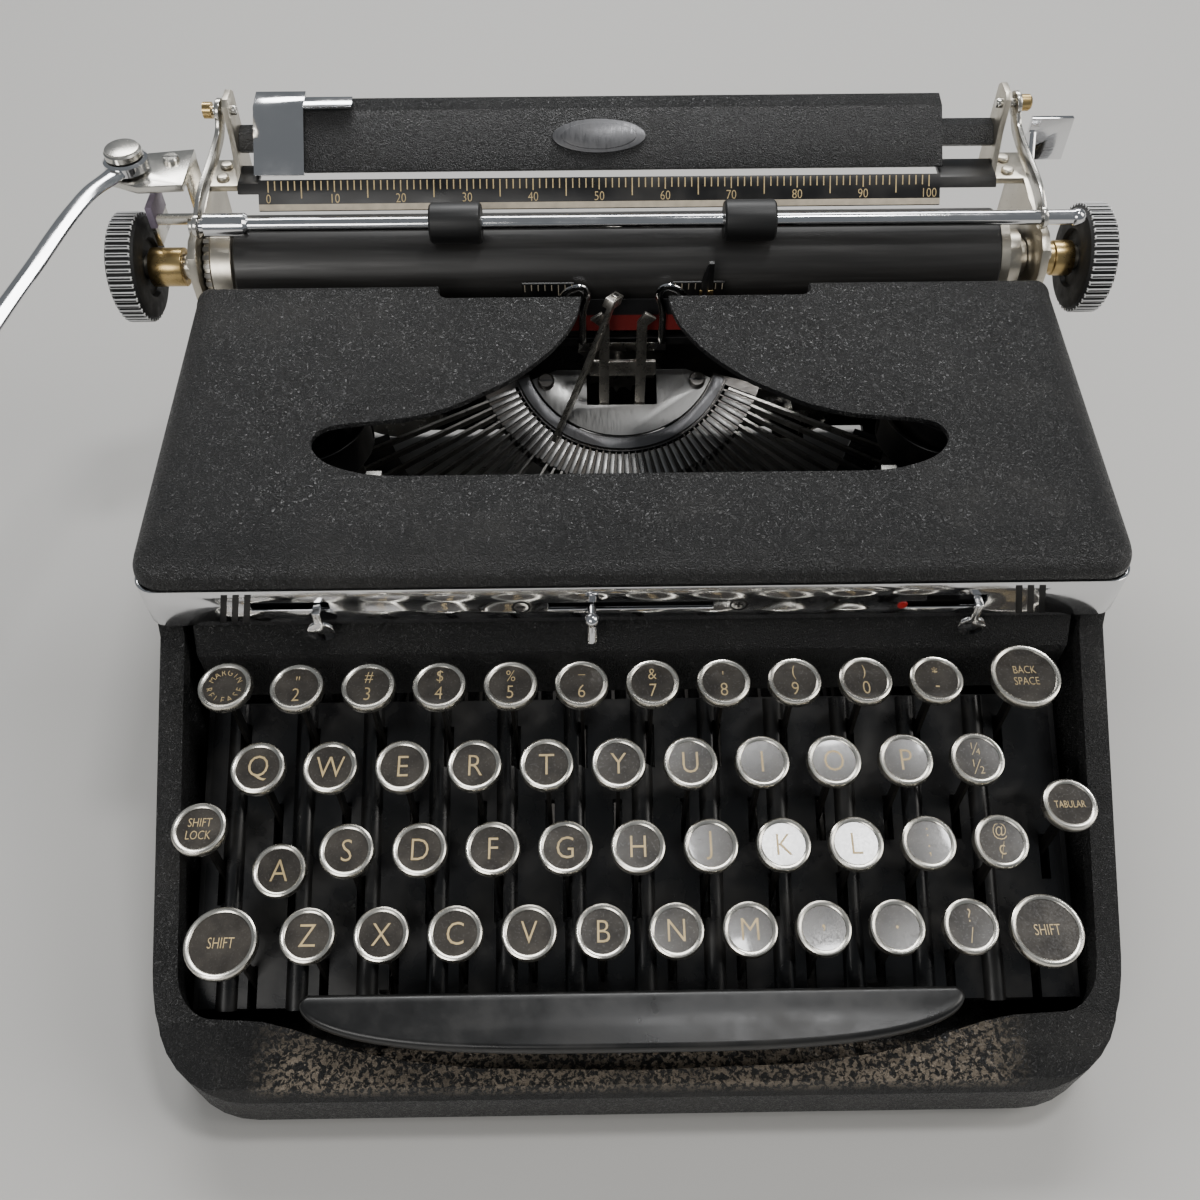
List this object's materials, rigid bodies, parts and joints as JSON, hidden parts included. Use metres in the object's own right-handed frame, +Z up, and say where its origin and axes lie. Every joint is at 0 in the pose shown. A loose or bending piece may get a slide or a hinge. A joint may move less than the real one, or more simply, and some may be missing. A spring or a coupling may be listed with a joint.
{
  "type": "typewriter",
  "caption": "Portable manual typewriter with a sloping four-row keyboard, a hooded type basket and a sliding carriage with platen, paper bail and return lever.",
  "frame": {"origin": "centre of the plane the rubber feet stand on, under the middle foot and on the centre line of the body", "axes": "+X to the typist's right along the platen, +Y away from the typist, +Z up"},
  "size_m": [0.3397, 0.2782, 0.1496],
  "materials": {
    "crinkle_black": "black crinkle paint, semi gloss",
    "chrome": "polished chrome",
    "black_steel": "black enamel, satin",
    "steel": "nickel plated steel, dulled",
    "grey_steel": "dark grey satin steel",
    "rubber_black": "hard black rubber",
    "knob_black": "black hard rubber, satin",
    "space_bar_black": "black, satin",
    "key_nickel": "nickel ring, dark legend disc",
    "ribbon_cloth": "black and red inked cloth",
    "spool_metal": "black",
    "scale_black": "black with cream divisions"
  },
  "bodies": {
    "frame": {"base_frame": "crinkle_black", "rubber_feet": "rubber_black", "chassis": "black_steel", "keyboard_deck": "black_steel", "key_guard_panel": "black_steel", "trim_strip": "chrome", "trim_backing": "black_steel", "back_panel": "black_steel", "type_segment": "black_steel", "segment_shield": "grey_steel", "typebars": "steel", "typebar_rest": "black_steel", "type_guide": "steel", "line_gauge": "steel", "spool_cups": "black_steel", "carriage_rail": "steel", "bell": "steel"},
    "hood": {"hood": "crinkle_black", "hood_clips": "steel"},
    "typebar_a": {"typebar_a": "steel"},
    "vibrator": {"ribbon_vibrator": "chrome", "ribbon": "ribbon_cloth"},
    "spool_left": {"ribbon_spool_left": "spool_metal"},
    "spool_right": {"ribbon_spool_right": "spool_metal"},
    "mainspring": {"mainspring_drum": "steel"},
    "escapement": {"escapement_wheel": "steel"},
    "carriage": {"carriage_frame": "steel", "paper_apron": "black_steel", "paper_table": "crinkle_black", "paper_scale": "scale_black", "lever_bracket": "black_steel"},
    "platen": {"platen": "rubber_black", "platen_core": "steel", "left_knob": "knob_black", "right_knob": "knob_black"},
    "feed_front": {"feed_roller_front": "rubber_black"},
    "feed_rear": {"feed_roller_rear": "rubber_black"},
    "bail": {"paper_bail": "chrome"},
    "bail_rollers": {"bail_rollers": "rubber_black"},
    "paper_guide": {"paper_guide": "chrome"},
    "return_lever": {"return_lever": "chrome"},
    "margin_stop_left": {"margin_stop_left": "steel"},
    "margin_stop_right": {"margin_stop_right": "steel"},
    "paper_release": {"paper_release": "chrome"},
    "carriage_release": {"carriage_release": "chrome"},
    "touch_control": {"touch_control": "chrome"},
    "ribbon_reverse": {"ribbon_reverse": "chrome"},
    "ribbon_selector": {"ribbon_selector": "chrome"},
    "number_row": {"number_row_keys": "key_nickel"},
    "top_row": {"top_row_keys": "key_nickel"},
    "home_row": {"home_row_keys": "key_nickel"},
    "bottom_row": {"bottom_row_keys": "key_nickel"},
    "key_a": {"key_a": "key_nickel"},
    "margin_release": {"margin_release_key": "key_nickel"},
    "backspace": {"backspace_key": "key_nickel"},
    "shift_lock": {"shift_lock_key": "key_nickel"},
    "tabulator": {"tabulator_key": "key_nickel"},
    "shift_left": {"shift_key_left": "key_nickel"},
    "shift_right": {"shift_key_right": "key_nickel"},
    "space_bar": {"space_bar": "space_bar_black"}
  },
  "joints": [
    {"name": "carriage_slide", "type": "slide", "parent": "frame", "child": "carriage", "axis": [1, 0, 0], "range_m": [-0.1, 0.1]},
    {"name": "platen_turn", "type": "hinge", "parent": "carriage", "child": "platen", "pos_m": [0, 0.103, 0.106], "axis": [1, 0, 0], "continuous": true},
    {"name": "feed_front_turn", "type": "hinge", "parent": "carriage", "child": "feed_front", "pos_m": [0, 0.0978, 0.0855], "axis": [1, 0, 0], "continuous": true},
    {"name": "feed_rear_turn", "type": "hinge", "parent": "carriage", "child": "feed_rear", "pos_m": [0, 0.1163, 0.0895], "axis": [1, 0, 0], "continuous": true},
    {"name": "bail_lift", "type": "hinge", "parent": "carriage", "child": "bail", "pos_m": [0, 0.13, 0.145], "axis": [-1, 0, 0], "range_deg": [0, 35]},
    {"name": "bail_roller_turn", "type": "hinge", "parent": "bail", "child": "bail_rollers", "pos_m": [0, 0.095, 0.127], "axis": [1, 0, 0], "continuous": true},
    {"name": "paper_guide_slide", "type": "slide", "parent": "carriage", "child": "paper_guide", "axis": [1, 0, 0], "range_m": [0, 0.15]},
    {"name": "return_lever_swing", "type": "hinge", "parent": "carriage", "child": "return_lever", "pos_m": [-0.154, 0.112, 0.138], "axis": [0, 0, 1], "range_deg": [0, 38], "stiffness_Nm_per_rad": 0.02},
    {"name": "margin_left_slide", "type": "slide", "parent": "carriage", "child": "margin_stop_left", "axis": [1, 0, 0], "range_m": [0, 0.09]},
    {"name": "margin_right_slide", "type": "slide", "parent": "carriage", "child": "margin_stop_right", "axis": [1, 0, 0], "range_m": [-0.09, 0]},
    {"name": "paper_release_swing", "type": "hinge", "parent": "carriage", "child": "paper_release", "pos_m": [0.1354, 0.122, 0.112], "axis": [1, 0, 0], "range_deg": [0, 20]},
    {"name": "carriage_release_press", "type": "hinge", "parent": "carriage", "child": "carriage_release", "pos_m": [-0.1375, 0.108, 0.118], "axis": [1, 0, 0], "range_deg": [0, 18], "stiffness_Nm_per_rad": 0.02},
    {"name": "hood_lift", "type": "hinge", "parent": "frame", "child": "hood", "pos_m": [0, -0.0314, 0.103], "axis": [1, 0, 0], "range_deg": [0, 65]},
    {"name": "touch_slide", "type": "slide", "parent": "frame", "child": "touch_control", "axis": [1, 0, 0], "range_m": [-0.008, 0.029]},
    {"name": "ribbon_reverse_slide", "type": "slide", "parent": "frame", "child": "ribbon_reverse", "axis": [1, 0, 0], "range_m": [-0.015, 0.001]},
    {"name": "ribbon_selector_slide", "type": "slide", "parent": "frame", "child": "ribbon_selector", "axis": [1, 0, 0], "range_m": [-0.012, 0.001]},
    {"name": "number_row_press", "type": "hinge", "parent": "frame", "child": "number_row", "pos_m": [0, 0.06, 0.028], "axis": [1, 0, 0], "range_deg": [0, 5.95], "stiffness_Nm_per_rad": 6},
    {"name": "top_row_press", "type": "hinge", "parent": "frame", "child": "top_row", "pos_m": [0, 0.06, 0.028], "axis": [1, 0, 0], "range_deg": [0, 5.73], "stiffness_Nm_per_rad": 8},
    {"name": "home_row_press", "type": "hinge", "parent": "frame", "child": "home_row", "pos_m": [0, 0.06, 0.028], "axis": [1, 0, 0], "range_deg": [0, 4.97], "stiffness_Nm_per_rad": 8},
    {"name": "bottom_row_press", "type": "hinge", "parent": "frame", "child": "bottom_row", "pos_m": [0, 0.06, 0.028], "axis": [1, 0, 0], "range_deg": [0, 4.39], "stiffness_Nm_per_rad": 9},
    {"name": "margin_release_press", "type": "hinge", "parent": "frame", "child": "margin_release", "pos_m": [0, 0.06, 0.028], "axis": [1, 0, 0], "range_deg": [0, 4.37], "stiffness_Nm_per_rad": 0.9},
    {"name": "backspace_press", "type": "hinge", "parent": "frame", "child": "backspace", "pos_m": [0, 0.06, 0.028], "axis": [1, 0, 0], "range_deg": [0, 6.02], "stiffness_Nm_per_rad": 0.9},
    {"name": "shift_lock_press", "type": "hinge", "parent": "frame", "child": "shift_lock", "pos_m": [0, 0.06, 0.028], "axis": [1, 0, 0], "range_deg": [0, 3.3], "stiffness_Nm_per_rad": 0.9},
    {"name": "tabulator_press", "type": "hinge", "parent": "frame", "child": "tabulator", "pos_m": [0, 0.06, 0.028], "axis": [1, 0, 0], "range_deg": [0, 3.39], "stiffness_Nm_per_rad": 0.9},
    {"name": "shift_left_press", "type": "hinge", "parent": "frame", "child": "shift_left", "pos_m": [0, 0.06, 0.028], "axis": [1, 0, 0], "range_deg": [0, 2.79], "stiffness_Nm_per_rad": 1.2},
    {"name": "shift_right_press", "type": "hinge", "parent": "frame", "child": "shift_right", "pos_m": [0, 0.06, 0.028], "axis": [1, 0, 0], "range_deg": [0, 2.79], "stiffness_Nm_per_rad": 1.2},
    {"name": "space_bar_press", "type": "hinge", "parent": "frame", "child": "space_bar", "pos_m": [0, 0.06, 0.028], "axis": [1, 0, 0], "range_deg": [0, 2.49], "stiffness_Nm_per_rad": 4},
    {"name": "key_a_press", "type": "hinge", "parent": "frame", "child": "key_a", "pos_m": [0, 0.06, 0.028], "axis": [1, 0, 0], "range_deg": [-3.18, 0]},
    {"name": "typebar_a_swing", "type": "hinge", "parent": "frame", "child": "typebar_a", "pos_m": [-0.02368, 0.06858, 0.05735], "axis": [0.8259, -0.515, -0.2293], "range_deg": [0, 129.6]},
    {"name": "vibrator_lift", "type": "slide", "parent": "frame", "child": "vibrator", "axis": [0, 0, 1], "range_m": [0, 0.006]},
    {"name": "spool_left_turn", "type": "hinge", "parent": "frame", "child": "spool_left", "pos_m": [-0.099, 0.044, 0.09], "axis": [0, 0, 1], "continuous": true},
    {"name": "spool_right_turn", "type": "hinge", "parent": "frame", "child": "spool_right", "pos_m": [0.099, 0.044, 0.09], "axis": [0, 0, 1], "continuous": true},
    {"name": "mainspring_turn", "type": "hinge", "parent": "frame", "child": "mainspring", "pos_m": [-0.084, 0.116, 0.042], "axis": [0, 1, 0], "continuous": true},
    {"name": "escapement_turn", "type": "hinge", "parent": "frame", "child": "escapement", "pos_m": [0, 0.1088, 0.06], "axis": [0, 1, 0], "continuous": true}
  ],
  "couplings": [
    {"joint": "feed_front_turn", "follows": "platen_turn", "ratio": -3.2449},
    {"joint": "feed_rear_turn", "follows": "platen_turn", "ratio": -3.2449},
    {"joint": "shift_right_press", "follows": "shift_left_press", "ratio": 1},
    {"joint": "typebar_a_swing", "follows": "key_a_press", "ratio": -40.637},
    {"joint": "spool_right_turn", "follows": "spool_left_turn", "ratio": 1},
    {"joint": "mainspring_turn", "follows": "carriage_slide", "rad_per_m": 47.619},
    {"joint": "escapement_turn", "follows": "carriage_slide", "rad_per_m": 64.516}
  ]
}
